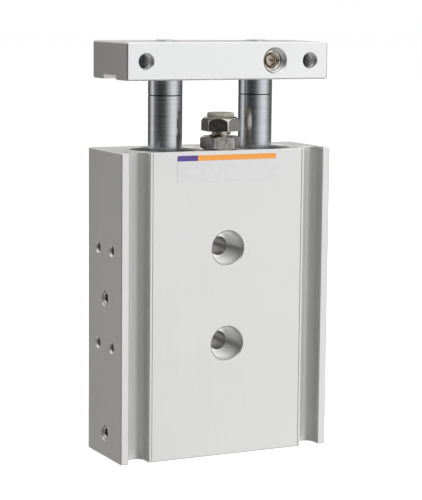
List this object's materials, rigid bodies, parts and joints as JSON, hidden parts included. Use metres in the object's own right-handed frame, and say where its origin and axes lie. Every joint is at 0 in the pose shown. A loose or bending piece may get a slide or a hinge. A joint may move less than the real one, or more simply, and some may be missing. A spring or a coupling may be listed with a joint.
{
  "type": "twin rod pneumatic cylinder",
  "caption": "Compact guided air cylinder: paired pistons in one extruded block push a common end plate on two rods, with an adjustable bumper bolt.",
  "frame": {"origin": "middle of the block's lower end face, on which the cylinder stands", "axes": "+Z along the rods towards the end plate, +X across the rods, -Y out of the front face with the sensor slots"},
  "size_m": [0.064, 0.0236, 0.1156],
  "materials": {
    "anodised_aluminium": "clear anodised, fine satin",
    "cover_aluminium": "turned, dull anodised",
    "rod_chrome": "hard chromed and ground",
    "nickel_steel": "nickel plated",
    "spring_steel": "phosphated black",
    "bearing_bronze": "sintered bronze",
    "seal_rubber": "black nitrile",
    "urethane": "beige urethane",
    "wear_resin": "brown acetal",
    "magnet": "bonded magnet, dull"
  },
  "bodies": {
    "housing": {"housing": "anodised_aluminium", "rod_cover_left": "cover_aluminium", "rod_cover_right": "cover_aluminium", "rod_bush_left": "bearing_bronze", "rod_bush_right": "bearing_bronze", "rod_seal_left": "seal_rubber", "rod_seal_right": "seal_rubber", "seal_retainer_left": "nickel_steel", "seal_retainer_right": "nickel_steel", "rod_cover_o_ring_left": "seal_rubber", "rod_cover_o_ring_right": "seal_rubber", "rod_snap_ring_left": "spring_steel", "rod_snap_ring_right": "spring_steel", "rod_side_bumper_left": "urethane", "rod_side_bumper_right": "urethane", "head_cover_left": "cover_aluminium", "head_cover_right": "cover_aluminium", "head_cover_o_ring_left": "seal_rubber", "head_cover_o_ring_right": "seal_rubber", "head_snap_ring_left": "spring_steel", "head_snap_ring_right": "spring_steel", "head_side_bumper_left": "urethane", "head_side_bumper_right": "urethane", "rod_port_plug": "nickel_steel", "head_port_plug": "nickel_steel"},
    "plate": {"end_plate": "anodised_aluminium", "plate_set_screw": "nickel_steel", "piston_rod_left": "rod_chrome", "piston_rod_right": "rod_chrome", "rod_end_left": "rod_chrome", "rod_end_right": "rod_chrome", "piston_left": "cover_aluminium", "piston_right": "cover_aluminium", "piston_seal_left": "seal_rubber", "piston_seal_right": "seal_rubber", "piston_magnet_left": "magnet", "piston_magnet_right": "magnet", "wear_ring_left": "wear_resin", "wear_ring_right": "wear_resin", "piston_nut_left": "nickel_steel", "piston_nut_right": "nickel_steel"},
    "lock_nut": {"lock_nut": "nickel_steel"},
    "bolt_bumper": {"bolt_bumper": "urethane"},
    "bumper_bolt": {"bumper_bolt": "nickel_steel"}
  },
  "joints": [
    {"name": "rod_slide", "type": "slide", "parent": "housing", "child": "plate", "axis": [0, 0, 1], "range_m": [-0.00895, 0.01105]},
    {"name": "bolt_travel", "type": "slide", "parent": "housing", "child": "bolt_bumper", "axis": [0, 0, 1], "range_m": [-0.0012, 0]},
    {"name": "bolt_turn", "type": "hinge", "parent": "bolt_bumper", "child": "bumper_bolt", "pos_m": [0, -0.0063, 0.092], "axis": [0, 0, 1], "range_deg": [-432.01, 0]},
    {"name": "lock_nut_turn", "type": "hinge", "parent": "housing", "child": "lock_nut", "pos_m": [0, -0.0063, 0.087], "axis": [0, 0, 1], "range_deg": [0, 60]}
  ],
  "couplings": [
    {"joint": "bolt_turn", "follows": "bolt_travel", "rad_per_m": 6283.2}
  ]
}
